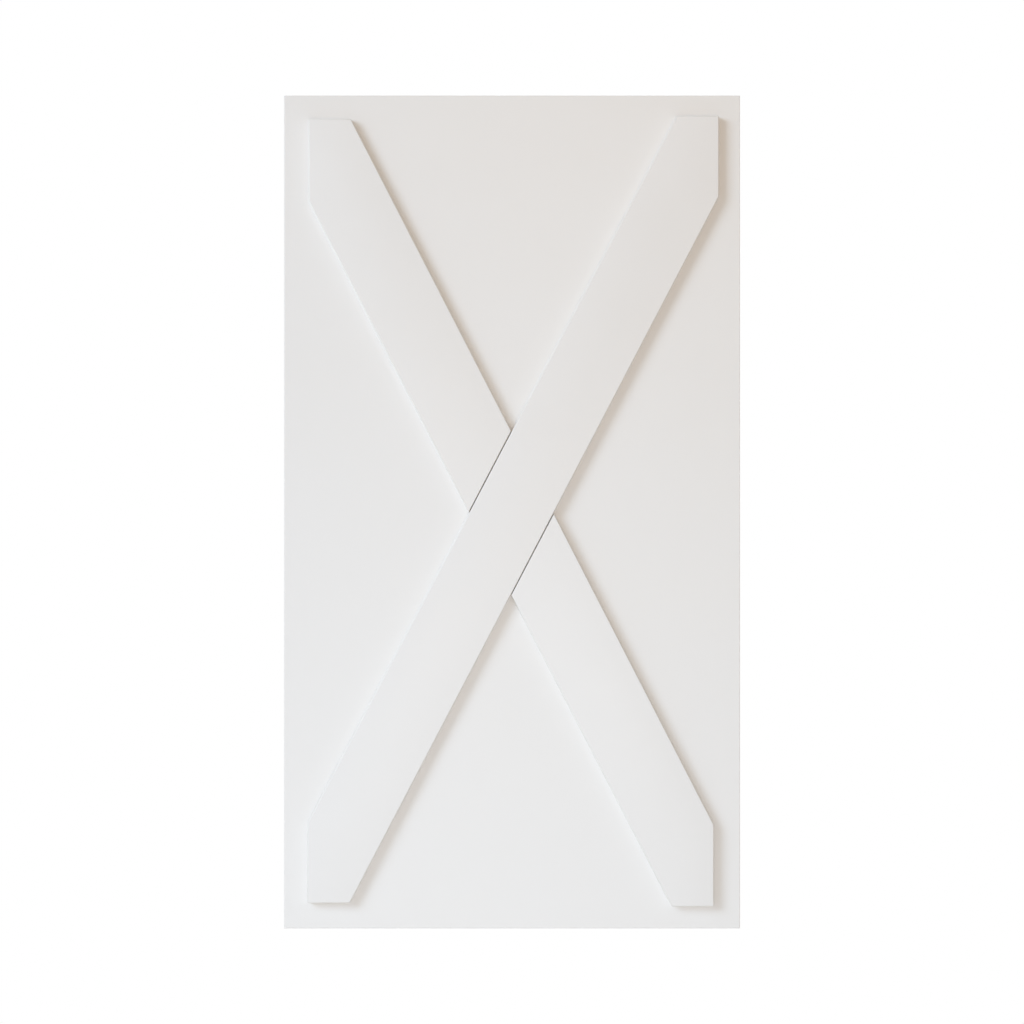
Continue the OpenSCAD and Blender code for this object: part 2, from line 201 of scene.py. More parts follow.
class SurfaceGroups:
    """The shader node groups that several finishes share, each built once."""

    CLOUD_DETAIL = 3.0
    CLOUD_MIDDLE = 0.5
    RIPPLE_DETAIL = 2.0
    SPECK_RADIUS = 0.06
    SPECK_RARITY = 0.82
    RUB_DETAIL = 4.0
    RUB_START = 0.35
    RUB_FULL = 0.65

    def __init__(self) -> None:
        """Build the groups."""
        self.cloud = self._cloud()
        self.film = self._film()
        self.rub = self._rub()

    @staticmethod
    def _start(
        name: str, inputs: Sequence[str], outputs: Sequence[str]
    ) -> tuple[Graph, bpy.types.NodeOutputs, bpy.types.NodeInputs]:
        """Start a group.

        Args:
            name: The group's name.
            inputs: Names of its number inputs. A vector input named Place comes first.
            outputs: Names of its number outputs.

        Returns:
            The graph, the sockets that come in and the sockets that go out.
        """
        tree = bpy.data.node_groups.new(name, "ShaderNodeTree")
        tree.interface.new_socket("Place", in_out="INPUT", socket_type="NodeSocketVector")
        for label in inputs:
            tree.interface.new_socket(label, in_out="INPUT", socket_type="NodeSocketFloat")
        for label in outputs:
            tree.interface.new_socket(label, in_out="OUTPUT", socket_type="NodeSocketFloat")
        graph = Graph(tree)
        incoming = graph.add("NodeGroupInput").outputs
        outgoing = graph.add("NodeGroupOutput").inputs
        return graph, incoming, outgoing

    def _cloud(self) -> bpy.types.NodeTree:
        """Build the soft clouding that varies a coat's colour and gloss.

        Returns:
            The group.
        """
        graph, incoming, outgoing = self._start("cloud", ["Scale", "Contrast"], ["Mask"])
        noise = graph.noise(incoming["Place"], incoming["Scale"], self.CLOUD_DETAIL)
        centred = graph.calculate("SUBTRACT", noise, self.CLOUD_MIDDLE)
        spread = graph.calculate("MULTIPLY", centred, incoming["Contrast"])
        mask = graph.add("Math", {0: spread, 1: self.CLOUD_MIDDLE}, operation="ADD", use_clamp=True)
        graph.feed(outgoing["Mask"], mask.outputs["Value"])
        return graph.tree

    def _film(self) -> bpy.types.NodeTree:
        """Build the ripple of a sprayed or plated film, with the odd speck of dust under it.

        Returns:
            The group.
        """
        graph, incoming, outgoing = self._start("film", ["Scale", "Specks"], ["Height", "Speck"])
        ripple = graph.noise(incoming["Place"], incoming["Scale"], self.RIPPLE_DETAIL)
        cells = graph.add("TexVoronoi", {"Vector": incoming["Place"], "Scale": incoming["Specks"]})
        limits = {
            "Value": cells.outputs["Distance"],
            "From Max": self.SPECK_RADIUS,
            "To Min": 1.0,
            "To Max": 0.0,
        }
        near = graph.add("MapRange", limits).outputs["Result"]
        hue = graph.add("SeparateColor", {"Color": cells.outputs["Color"]}).outputs["Red"]
        rare = graph.calculate("GREATER_THAN", hue, self.SPECK_RARITY)
        speck = graph.calculate("MULTIPLY", near, rare)
        graph.feed(outgoing["Height"], graph.calculate("ADD", ripple, speck))
        graph.feed(outgoing["Speck"], speck)
        return graph.tree

    def _rub(self) -> bpy.types.NodeTree:
        """Build the fine lines that rolling and handling leave along a piece.

        Returns:
            The group.
        """
        graph, incoming, outgoing = self._start("rub", ["Scale", "Stretch"], ["Mask"])
        parts = graph.add("SeparateXYZ", {"Vector": incoming["Place"]}).outputs
        drawn = graph.calculate("DIVIDE", parts["Y"], incoming["Stretch"])
        place = graph.add("CombineXYZ", {"X": parts["X"], "Y": drawn, "Z": parts["Z"]})
        lines = graph.noise(place.outputs["Vector"], incoming["Scale"], self.RUB_DETAIL)
        limits = {"Value": lines, "From Min": self.RUB_START, "From Max": self.RUB_FULL}
        graph.feed(outgoing["Mask"], graph.add("MapRange", limits).outputs["Result"])
        return graph.tree


@dataclass(frozen=True)
class Finish:
    """A surface finish, with what every finish has."""

    name: str
    slot: Slot
    colour: Colour
    shade: Colour
    roughness: float
    roughness_spread: float

    def start(self) -> tuple[bpy.types.Material, Graph, bpy.types.Node, bpy.types.NodeSocket]:
        """Start the finish's material.

        Returns:
            The material, its graph, its shader node and the socket of the place on the piece.
        """
        material = bpy.data.materials.new(self.name)
        material.use_nodes = True
        graph = Graph(material.node_tree)
        shader = graph.add("BsdfPrincipled")
        graph.add("OutputMaterial", {"Surface": shader.outputs["BSDF"]})
        place = graph.add("TexCoord").outputs["Object"]
        return material, graph, shader, place

    @staticmethod
    def group(
        graph: Graph, tree: bpy.types.NodeTree, place: bpy.types.NodeSocket, **values: float
    ) -> bpy.types.NodeOutputs:
        """Place a shared group.

        Args:
            graph: The material's graph.
            tree: The group.
            place: The socket of the place on the piece.
            **values: The group's number inputs.

        Returns:
            The group's outputs.
        """
        node = graph.add("Group", node_tree=tree)
        graph.feed(node.inputs["Place"], place)
        for label, value in values.items():
            graph.feed(node.inputs[label], value)
        return node.outputs

    def vary_gloss(self, graph: Graph, shader: bpy.types.Node, mask: bpy.types.NodeSocket) -> None:
        """Vary the roughness over the surface.

        Args:
            graph: The material's graph.
            shader: The material's shader node.
            mask: Socket that is 0 where the surface is smoothest and 1 where it is roughest.
        """
        low = self.roughness - self.roughness_spread
        high = self.roughness + self.roughness_spread
        graph.feed(shader.inputs["Roughness"], graph.span(mask, low, high))

    @staticmethod
    def raise_film(
        graph: Graph, shader: bpy.types.Node, height: bpy.types.NodeSocket, depth: float
    ) -> None:
        """Give the surface the fine relief of a height of 0 to 1 times a depth."""
        bump = graph.add("Bump", {"Height": height, "Distance": depth, "Strength": 1.0})
        graph.feed(shader.inputs["Normal"], bump.outputs["Normal"])

    def material(self, groups: SurfaceGroups) -> bpy.types.Material:
        """Build the material, which each kind of finish does in its own way."""
        raise NotImplementedError


@dataclass(frozen=True)
class PaintFinish(Finish):
    """Sprayed satin paint on smooth board. The coat is thinner on the sawn sides, which look warmer."""

    side: Colour = (0.805, 0.790, 0.770)
    side_start: float = 0.8
    side_full: float = 0.35
    cloud_scale: float = 7.0
    cloud_contrast: float = 1.6
    ripple_scale: float = 900.0
    speck_scale: float = 55.0
    ripple_depth: float = 0.012 * MM

    def side_mask(self, graph: Graph) -> bpy.types.NodeSocket:
        """Return 1 on the board's sides and 0 on its face and back.

        Args:
            graph: The material's graph.

        Returns:
            The mask's socket.
        """
        normal = graph.add("SeparateXYZ", {"Vector": graph.add("TexCoord").outputs["Normal"]})
        # The boards lie flat in x and z, so their faces and backs look along y.
        flat = graph.calculate("ABSOLUTE", normal.outputs["Y"])
        return graph.ramp(flat, self.side_start, self.side_full)

    def material(self, groups: SurfaceGroups) -> bpy.types.Material:
        """Build the paint.

        Args:
            groups: The shared node groups.

        Returns:
            The material.
        """
        material, graph, shader, place = self.start()
        cloud = self.group(
            graph, groups.cloud, place, Scale=self.cloud_scale, Contrast=self.cloud_contrast
        )
        film = self.group(graph, groups.film, place, Scale=self.ripple_scale, Specks=self.speck_scale)
        tint = graph.mix(cloud["Mask"], rgba(self.shade), rgba(self.colour))
        graph.feed(shader.inputs["Base Color"], graph.mix(self.side_mask(graph), tint, rgba(self.side)))
        self.vary_gloss(graph, shader, cloud["Mask"])
        self.raise_film(graph, shader, film["Height"], self.ripple_depth)
        return material


@dataclass(frozen=True)
class PlatedFinish(Finish):
    """A bright plated or ground metal."""

    cloud_scale: float = 60.0
    cloud_contrast: float = 2.2
    rub_scale: float = 1500.0
    rub_stretch: float = 12.0
    rub_depth: float = 0.004 * MM
    speck_share: float = 0.25

    def material(self, groups: SurfaceGroups) -> bpy.types.Material:
        """Build the metal.

        Args:
            groups: The shared node groups.

        Returns:
            The material.
        """
        material, graph, shader, place = self.start()
        shader.inputs["Metallic"].default_value = 1.0
        cloud = self.group(
            graph, groups.cloud, place, Scale=self.cloud_scale, Contrast=self.cloud_contrast
        )
        rub = self.group(graph, groups.rub, place, Scale=self.rub_scale, Stretch=self.rub_stretch)
        specks = self.rub_scale * self.speck_share
        film = self.group(graph, groups.film, place, Scale=self.rub_scale, Specks=specks)
        tint = graph.mix(cloud["Mask"], rgba(self.shade), rgba(self.colour))
        graph.feed(shader.inputs["Base Color"], graph.mix(film["Speck"], tint, rgba(self.shade)))
        self.vary_gloss(graph, shader, graph.calculate("MULTIPLY", cloud["Mask"], rub["Mask"]))
        self.raise_film(graph, shader, rub["Mask"], self.rub_depth)
        return material


LEAF_PAINT = PaintFinish(
    name="leaf_satin_paint",
    slot=Slot.PAINT,
    colour=(0.805, 0.800, 0.793),
    shade=(0.790, 0.785, 0.776),
    roughness=0.42,
    roughness_spread=0.04,
)
PLANK_PAINT = PaintFinish(
    name="plank_satin_paint",
    slot=Slot.PAINT,
    colour=(0.803, 0.798, 0.791),
    shade=(0.788, 0.782, 0.773),
    roughness=0.40,
    roughness_spread=0.05,
    side=(0.865, 0.818, 0.765),
    cloud_scale=11.0,
    ripple_scale=760.0,
)
NICKEL = PlatedFinish(
    name="nickel_plate",
    slot=Slot.NICKEL,
    colour=(0.65, 0.615, 0.56),
    shade=(0.54, 0.51, 0.46),
    roughness=0.26,
    roughness_spread=0.07,
)
ZINC = PlatedFinish(
    name="zinc_plate",
    slot=Slot.ZINC,
    colour=(0.62, 0.63, 0.65),
    shade=(0.50, 0.51, 0.52),
    roughness=0.33,
    roughness_spread=0.08,
    rub_scale=2400.0,
)
STEEL = PlatedFinish(
    name="ground_steel",
    slot=Slot.STEEL,
    colour=(0.58, 0.57, 0.56),
    shade=(0.47, 0.46, 0.45),
    roughness=0.22,
    roughness_spread=0.05,
)


class Wardrobe:
    """Holds one material for each finish and dresses pieces in them."""

    def __init__(self) -> None:
        """Build the shared groups."""
        self.groups = SurfaceGroups()
        self.made: dict[str, bpy.types.Material] = {}

    def dress(self, piece: bpy.types.Object, finish: Finish, body: Body) -> bpy.types.Object:
        """Put a finish on a piece and report it.

        Args:
            piece: The piece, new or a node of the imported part.
            finish: Its finish.
            body: The body that it rides on.

        Returns:
            The same piece.
        """
        if finish.name not in self.made:
            self.made[finish.name] = finish.material(self.groups)
        piece.data.materials.clear()
        piece.data.materials.append(self.made[finish.name])
        faces = len(piece.data.polygons)
        LOG.info("%s: %s on %s, %d faces", piece.name, finish.name, body.value, faces)
        return piece

    def stand_for(
        self, piece: bpy.types.Object, finish: Finish, body: Body, node: str
    ) -> bpy.types.Object:
        """Dress a new piece, let it ride on a body and let it stand for a node.

        Args:
            piece: The new piece.
            finish: Its finish.
            body: The body that it rides on.
            node: The node that it stands for.

        Returns:
            The same piece.
        """
        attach(piece, body.value)
        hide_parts(node)
        return self.dress(piece, finish, body)


def new_piece(name: str, mesh: bmesh.types.BMesh) -> bpy.types.Object:
    """Turn a finished bmesh into an object of the scene.

    Args:
        name: The piece's name.
        mesh: The bmesh, which is freed.

    Returns:
        The new object.
    """
    bmesh.ops.recalc_face_normals(mesh, faces=mesh.faces)
    data = bpy.data.meshes.new(name)
    mesh.to_mesh(data)
    mesh.free()
    piece = bpy.data.objects.new(name, data)
    bpy.context.scene.collection.objects.link(piece)
    return piece


def skin_rings(
    mesh: bmesh.types.BMesh, rings: Sequence[Sequence[Vector]], smooth: bool
) -> list[list[bmesh.types.BMVert]]:
    """Join closed rings of points into a tube.

    Args:
        mesh: The bmesh to add to.
        rings: Rings with as many points each, in order along the tube.
        smooth: Whether the tube's faces are shaded smooth.

    Returns:
        The rings' vertices.
    """
    made = [[mesh.verts.new(point) for point in ring] for ring in rings]
    for low, high in zip(made, made[1:]):
        for i, vertex in enumerate(low):
            j = (i + 1) % len(low)
            face = mesh.faces.new((vertex, low[j], high[j], high[i]))
            face.smooth = smooth
    return made


def turn(a: Point, b: Point, c: Point) -> float:
    """Return twice the signed area of a triangle."""
    return (b[0] - a[0]) * (c[1] - a[1]) - (b[1] - a[1]) * (c[0] - a[0])


def edges(outline: Outline) -> list[tuple[Point, Point]]:
    """Return the start and the end of each edge of a closed outline."""
    return list(zip(outline, outline[1:] + outline[:1]))


def convex_chain(points: Sequence[Point]) -> Outline:
    """Return the corners along one side of the smallest convex outline round flat points.

    Args:
        points: The points, sorted along that side.

    Returns:
        The side's corners, without its last.
    """
    chain: Outline = []
    for point in points:
        while len(chain) > 1 and turn(chain[-2], chain[-1], point) <= STRAIGHT:
            chain.pop()
        chain.append(point)
    return chain[:-1]


def convex_outline(points: Iterable[Point]) -> Outline:
    """Return the corners of the smallest convex outline round flat points, anticlockwise."""
    ordered = sorted(set(points))
    return convex_chain(ordered) + convex_chain(ordered[::-1])


def inset(outline: Outline, depths: Sequence[float]) -> Outline:
    """Move each edge of an anticlockwise convex outline inwards by its own depth.

    Args:
        outline: The outline's corners.
        depths: One depth for the edge that starts at each corner. A negative depth moves it out.

    Returns:
        The new corners.
    """
    lines = []
    for ((ax, ay), (bx, by)), depth in zip(edges(outline), depths):
        length = math.hypot(bx - ax, by - ay)
        way = ((bx - ax) / length, (by - ay) / length)
        lines.append(((ax - way[1] * depth, ay + way[0] * depth), way))
    corners = []
    for (p, d), (q, e) in zip(lines[-1:] + lines[:-1], lines):
        along = ((q[0] - p[0]) * e[1] - (q[1] - p[1]) * e[0]) / (d[0] * e[1] - d[1] * e[0])
        corners.append((p[0] + d[0] * along, p[1] + d[1] * along))
    return corners


@dataclass
class Leaf:
    """The flat leaf, as packed, under its paint."""

    node: str = LEAF_NODE

    def build(self, wardrobe: Wardrobe) -> None:
        """Dress the leaf."""
        wardrobe.dress(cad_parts[self.node], LEAF_PAINT, Body.LEAF)


@dataclass
class PlankCross:
    """The three planks on the leaf's front, with rounded arrises and a bead of paint at their feet."""

    nodes: tuple[str, ...] = ("long_plank", "upper_short_plank", "lower_short_plank")
    arris: float = 1.5 * MM
    bead: float = 1.5 * MM
    steps: int = 6
    joint_reach: float = 2.0 * MM
    longest_end: float = 500.0 * MM
    seat_slack: float = 0.001 * MM
    digits: int = 6
    crease: float = math.radians(40)

    def outline(self, node: str) -> Outline:
        """Return the outline of a plank's seat on the leaf, in x and z.

        Args:
            node: The plank's node.

        Returns:
            The outline's corners, anticlockwise.
        """
        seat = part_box(node)[1].y
        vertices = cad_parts[node].data.vertices
        points = [v.co for v in vertices if abs(v.co.y - seat) < self.seat_slack]
        return convex_outline((round(p.x, self.digits), round(p.z, self.digits)) for p in points)

    def beads(self, outline: Outline, others: Sequence[Outline]) -> list[float]:
        """Return the width of the paint bead on each edge: none at an end that butts on another plank.

        Args:
            outline: The plank's outline.
            others: The outlines of the other planks.

        Returns:
            One width for each edge.
        """
        widths = []
        for start, end in edges(outline):
            middle = ((start[0] + end[0]) / 2, (start[1] + end[1]) / 2)
            near = any(self.gap(middle, other) < self.joint_reach for other in others)
            short = math.dist(start, end) < self.longest_end
            widths.append(0.0 if near and short else self.bead)
        return widths

    @staticmethod
    def gap(point: Point, outline: Outline) -> float:
        """Return how far a point lies outside a convex outline's nearest edge line."""
        return max(-turn(a, b, point) / math.dist(a, b) for a, b in edges(outline))

    def build_plank(self, node: str) -> bpy.types.Object:
        """Build one plank.

        Args:
            node: The node that it stands for.

        Returns:
            The new piece.
        """
        low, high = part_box(node)
        outline = self.outline(node)
        beads = self.beads(outline, [self.outline(n) for n in self.nodes if n != node])
        quarter = [math.pi / 2 * i / self.steps for i in range(self.steps + 1)]
        rings = []
        for angle in quarter:
            depths = [-bead * (1 - math.sin(angle)) for bead in beads]
            rings.append((inset(outline, depths), high.y - self.bead * (1 - math.cos(angle))))
        for angle in quarter:
            depths = [self.arris * (1 - math.cos(angle))] * len(outline)
            rings.append((inset(outline, depths), low.y + self.arris * (1 - math.sin(angle))))
        mesh = bmesh.new()
        points = [[Vector((x, y, z)) for x, z in corners] for corners, y in rings]
        made = skin_rings(mesh, points, smooth=True)
        mesh.faces.new(made[-1])
        mesh.faces.new(made[0][::-1])
        piece = new_piece(node + "_painted", mesh)
        piece.data.set_sharp_from_angle(angle=self.crease)
        return piece

    def build(self, wardrobe: Wardrobe) -> None:
        """Build and dress the planks."""
        for node in self.nodes:
            wardrobe.stand_for(self.build_plank(node), PLANK_PAINT, Body.LEAF, node)


@dataclass
class Screw:
    """A screw that stands head up at the origin and points down, with a thread and a cross recess."""

    head_radius: float
    head_height: float
    sink: float
    shank_radius: float
    length: float
    tip: Tip
    pitch: float
    sides: int = 32
    rows_per_turn: int = 6
    least_rows: int = 4
    core: float = 0.72
    ridge_middle: float = 0.5
    ridge_reach: float = 0.28
    tip_share: float = 0.03
    head_side: float = 0.35
    dome_steps: int = 6
    rim_edge: float = 0.15 * MM
    recess_share: float = 0.55
    recess_depth: float = 1.3 * MM
    recess_width: float = 1.0 * MM
    recess_taper: float = 0.55
    recess_over: float = 0.2 * MM
    crease: float = math.radians(35)

    def thread_radius(self, depth: float, angle: float) -> float:
        """Return the thread's radius.

        Args:
            depth: Depth below the head's seat.
            angle: Angle round the screw.

        Returns:
            The radius there.
        """
        phase = (depth / self.pitch - angle / math.tau) % 1.0
        ridge = max(0.0, 1.0 - abs(phase - self.ridge_middle) / self.ridge_reach)
        run_out = min(1.0, max(0.0, (depth - self.sink) / self.pitch))
        full = self.shank_radius * (self.core + (1 - self.core) * ridge * run_out)
        if self.tip is Tip.POINTED:
            left = (self.length - depth) / (2 * self.shank_radius)
            return full * min(1.0, max(self.tip_share, left))
        return full

    def head_profile(self) -> list[tuple[float, float]]:
        """Return the head's outline, from its top's rim down to the shank.

        Returns:
            Pairs of a radius and a height.
        """
        if self.head_height > 0:
            side = self.head_side * self.head_height
            rise = self.head_height - side
            steps = [math.pi / 2 * i / self.dome_steps for i in range(1, self.dome_steps + 1)]
            dome = [(self.head_radius * math.sin(a), side + rise * math.cos(a)) for a in steps]
            return dome + [(self.head_radius, 0.0)]
        return [(self.head_radius - self.rim_edge, 0.0), (self.head_radius, -self.rim_edge)]

    def body(self) -> bmesh.types.BMesh:
        """Build the screw without its recess.

        Returns:
            The bmesh.
        """
        angles = [math.tau * i / self.sides for i in range(self.sides)]
        rings = []
        for r, z in self.head_profile():
            rings.append([Vector((r * math.cos(a), r * math.sin(a), z)) for a in angles])
        thread = self.length - self.sink
        rows = max(self.least_rows, int(thread / self.pitch * self.rows_per_turn))
        for i in range(rows + 1):
            depth = self.sink + thread * i / rows
            ring = []
            for a in angles:
                r = self.thread_radius(depth, a)
                ring.append(Vector((r * math.cos(a), r * math.sin(a), -depth)))
            rings.append(ring)
        mesh = bmesh.new()
        made = skin_rings(mesh, rings, smooth=True)
        mesh.faces.new(made[0])
        mesh.faces.new(made[-1][::-1])
        bmesh.ops.recalc_face_normals(mesh, faces=mesh.faces)
        return mesh

    def recess(self) -> bmesh.types.BMesh:
        """Build the tapered cross that is cut out of the head.

        Returns:
            The bmesh.
        """
        mesh = bmesh.new()
        reach = self.head_radius * self.recess_share
        levels = (
            (self.head_height + self.recess_over, 1.0),
            (self.head_height - self.recess_depth, self.recess_taper),
        )
        for quarter in (0.0, math.pi / 2):
            spin = Matrix.Rotation(quarter, 3, "Z")
            rings = []
            for z, share in levels:
                x = reach * share
                y = self.recess_width / 2 * share
                corners = ((x, y), (-x, y), (-x, -y), (x, -y))
                rings.append([spin @ Vector((cx, cy, z)) for cx, cy in corners])
            made = skin_rings(mesh, rings, smooth=False)
            mesh.faces.new(made[0])
            mesh.faces.new(made[-1][::-1])
        bmesh.ops.recalc_face_normals(mesh, faces=mesh.faces)
        return mesh

    def mesh(self) -> bpy.types.Mesh:
        """Build the whole screw.

        Returns:
            The finished mesh, head up at the origin.
        """
        solid = new_piece("screw_blank", self.body())
        cutter = new_piece("screw_recess", self.recess())
        cut = solid.modifiers.new("recess", "BOOLEAN")
        cut.operation = "DIFFERENCE"
        cut.solver = "EXACT"
        cut.use_self = True
        cut.object = cutter
        graph = bpy.context.evaluated_depsgraph_get()
        made = bpy.data.meshes.new_from_object(solid.evaluated_get(graph))
        made.set_sharp_from_angle(angle=self.crease)
        # The blank and the cutter are not pieces of the door.
        for used in (solid, cutter):
            data = used.data
            bpy.data.objects.remove(used)
            bpy.data.meshes.remove(data)
        return made


def screw_group(name: str, screw: Screw, places: Sequence[Matrix]) -> bpy.types.Object:
    """Set copies of a screw in their places, as one piece.

    Args:
        name: The piece's name.
        screw: The screw.
        places: Where each copy goes.

    Returns:
        The new piece.
    """
    blank = screw.mesh()
    mesh = bmesh.new()
    for i, place in enumerate(places):
        start = len(mesh.verts)
        mesh.from_mesh(blank)
        mesh.verts.ensure_lookup_table()
        turned = place @ Matrix.Rotation(SCREW_TURN * i, 4, "Z")
        bmesh.ops.transform(mesh, matrix=turned, verts=mesh.verts[start:])
    bpy.data.meshes.remove(blank)
    return new_piece(name, mesh)


def facing(way: Vector, at: Vector) -> Matrix:
    """Return the place of a screw whose head faces a way, with its seat at a point."""
    return Matrix.Translation(at) @ way.to_track_quat("Z", "Y").to_matrix().to_4x4()


def clusters(node: str, reach: float) -> list[tuple[Vector, Vector]]:
    """Return the lowest and highest corners of each separate solid of a node.

    Args:
        node: The node.
        reach: Points closer than this in x and z belong together.

    Returns:
        One pair of corners for each solid.
    """
    found: list[list[Vector]] = []
    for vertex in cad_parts[node].data.vertices:
        for group in found:
            if math.hypot(group[0].x - vertex.co.x, group[0].z - vertex.co.z) < reach:
                group.append(vertex.co)
                break
        else:
            found.append([vertex.co])
    return [(Vector(map(min, *group)), Vector(map(max, *group))) for group in found]


@dataclass
class PlankScrews:
    """The countersunk screws that hold the planks from behind the leaf."""

    node: str = "plank_screws"
    reach: float = 12.0 * MM
    shank_radius: float = 2.0 * MM
    pitch: float = 1.8 * MM

    def build(self, wardrobe: Wardrobe) -> None:
        """Build and dress the screws.

        Args:
            wardrobe: Where their finish comes from.
        """
        boxes = clusters(self.node, self.reach)
        low, high = boxes[0]
        head = (high.x - low.x) / 2
        screw = Screw(
            head_radius=head,
            head_height=0.0,
            sink=head - self.shank_radius,
            shank_radius=self.shank_radius,
            length=high.y - low.y,
            tip=Tip.POINTED,
            pitch=self.pitch,
        )
        places = [facing(BACK, Vector(((a.x + b.x) / 2, b.y, (a.z + b.z) / 2))) for a, b in boxes]
        piece = screw_group("plank_screws_threaded", screw, places)
        wardrobe.stand_for(piece, ZINC, Body.LEAF, self.node)


@dataclass
class Hinge:
    """One cup hinge: pot, pin and screws on the leaf, and arm and plate on the cupboard's side."""

    place: Place
    edge: float = 0.22 * MM
    edge_steps: int = 2
    edge_profile: float = 0.5
    weld: float = 0.002 * MM
    flat: float = math.radians(0.5)
    sharp: float = math.radians(42)
    crease: float = math.radians(60)
    area_weight: int = 100
    flange: float = 1.2 * MM
    shank_radius: float = 1.75 * MM
    pitch: float = 1.4 * MM
    machine_pitch: float = 0.8 * MM
    machine_core: float = 0.86
    clamp_radius: float = 2.5 * MM
    clamp_sink: float = 0.5 * MM
    clamp_recess_width: float = 1.3 * MM
    clamp_recess_depth: float = 1.8 * MM
    adjuster_top: float = 0.94
    adjuster_sink: float = 0.3 * MM
    adjuster_recess_width: float = 1.1 * MM

    def node(self, piece: str) -> str:
        """Return the name of this hinge's node for a piece."""
        return f"{self.place.value}_{piece}"

    def softened(self, piece: str) -> bpy.types.Object:
        """Copy a node's solid with its sharp edges broken, as tumbling leaves them.

        Args:
            piece: The piece's name within the hinge.

        Returns:
            The new piece.
        """
        mesh = bmesh.new()
        mesh.from_mesh(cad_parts[self.node(piece)].data)
        bmesh.ops.remove_doubles(mesh, verts=mesh.verts, dist=self.weld)
        bmesh.ops.dissolve_limit(mesh, angle_limit=self.flat, verts=mesh.verts, edges=mesh.edges)
        sharp = [e for e in mesh.edges if len(e.link_faces) == 2 and e.calc_face_angle() > self.sharp]
        bmesh.ops.bevel(
            mesh,
            geom=sharp,
            offset=self.edge,
            segments=self.edge_steps,
            profile=self.edge_profile,
            affect="EDGES",
            clamp_overlap=True,
        )
        for face in mesh.faces:
            face.smooth = True
        made = new_piece(self.node(piece) + "_softened", mesh)
        made.data.set_sharp_from_angle(angle=self.crease)
        flat = made.modifiers.new("flat_faces", "WEIGHTED_NORMAL")
        flat.mode = "FACE_AREA"
        flat.weight = self.area_weight
        flat.keep_sharp = True
        return made

    def cup_screws(self) -> bpy.types.Object:
        """Build the two screws in the flange's ears.

        Returns:
            The new piece.
        """
        low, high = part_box(self.node("cup_screws"))
        head = (high.x - low.x) / 2
        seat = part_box(self.node("cup"))[1].y
        screw = Screw(
            head_radius=head,
            head_height=high.y - seat,
            sink=self.flange,
            shank_radius=self.shank_radius,
            length=seat - low.y,
            tip=Tip.POINTED,
            pitch=self.pitch,
        )
        x = (low.x + high.x) / 2
        places = [facing(BACK, Vector((x, seat, z))) for z in (low.z + head, high.z - head)]
        return screw_group(self.node("cup_screws_threaded"), screw, places)

    def clamp_screw(self) -> bpy.types.Object:
        """Build the screw that clamps the arm to the plate.

        Returns:
            The new piece.
        """
        low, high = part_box(self.node("clamp_screw"))
        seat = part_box(self.node("arm"))[1].x
        screw = Screw(
            head_radius=(high.y - low.y) / 2,
            head_height=high.x - seat,
            sink=self.clamp_sink,
            shank_radius=self.clamp_radius,
            length=seat - low.x,
            tip=Tip.BLUNT,
            pitch=self.machine_pitch,
            core=self.machine_core,
            recess_width=self.clamp_recess_width,
            recess_depth=self.clamp_recess_depth,
        )
        at = Vector((seat, (low.y + high.y) / 2, (low.z + high.z) / 2))
        return screw_group(self.node("clamp_screw_threaded"), screw, [facing(INWARD, at)])

    def side_adjuster(self) -> bpy.types.Object:
        """Build the headless screw that sets the door sideways.

        Returns:
            The new piece.
        """
        low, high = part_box(self.node("side_adjuster"))
        radius = (high.y - low.y) / 2
        screw = Screw(
            head_radius=radius * self.adjuster_top,
            head_height=0.0,
            sink=self.adjuster_sink,
            shank_radius=radius,
            length=high.x - low.x,
            tip=Tip.BLUNT,
            pitch=self.machine_pitch,
            core=self.machine_core,
            recess_width=self.adjuster_recess_width,
        )
        at = Vector((high.x, (low.y + high.y) / 2, (low.z + high.z) / 2))
        return screw_group(self.node("side_adjuster_threaded"), screw, [facing(INWARD, at)])

    def build(self, wardrobe: Wardrobe) -> None:
        """Build and dress the hinge.

        Args:
            wardrobe: Where its finishes come from.
        """
        wardrobe.stand_for(self.softened("cup"), NICKEL, Body.LEAF, self.node("cup"))
        wardrobe.stand_for(self.cup_screws(), ZINC, Body.LEAF, self.node("cup_screws"))
        wardrobe.stand_for(self.softened("pivot_pin"), STEEL, Body.LEAF, self.node("pivot_pin"))
        wardrobe.stand_for(self.softened("arm"), NICKEL, Body.ARMS, self.node("arm"))
        wardrobe.stand_for(self.softened("plate"), NICKEL, Body.ARMS, self.node("plate"))
        wardrobe.stand_for(self.clamp_screw(), ZINC, Body.ARMS, self.node("clamp_screw"))
        wardrobe.stand_for(self.side_adjuster(), ZINC, Body.ARMS, self.node("side_adjuster"))


@dataclass(frozen=True)
class SoftBox:
    """A square soft box, placed from the middle of the leaf's front and aimed at a point from there."""

    name: str
    place: tuple[float, float, float]
    aim: tuple[float, float, float]
    side: float
    watts: float
    colour: Colour
    spread: float = math.radians(180)

    def build(self, middle: Vector) -> bpy.types.Object:
        """Build the lamp.

        Args:
            middle: The middle of the leaf's front.

        Returns:
            The lamp's object.
        """
        data = bpy.data.lights.new(self.name, "AREA")
        data.shape = "SQUARE"
        data.size = self.side
        data.energy = self.watts
        data.color = self.colour
        data.spread = self.spread
        lamp = bpy.data.objects.new(self.name, data)
        lamp.location = middle + Vector(self.place)
        way = middle + Vector(self.aim) - lamp.location
        lamp.rotation_euler = way.to_track_quat("-Z", "Y").to_euler()
        lamp.visible_camera = False
        bpy.context.scene.collection.objects.link(lamp)
        return lamp


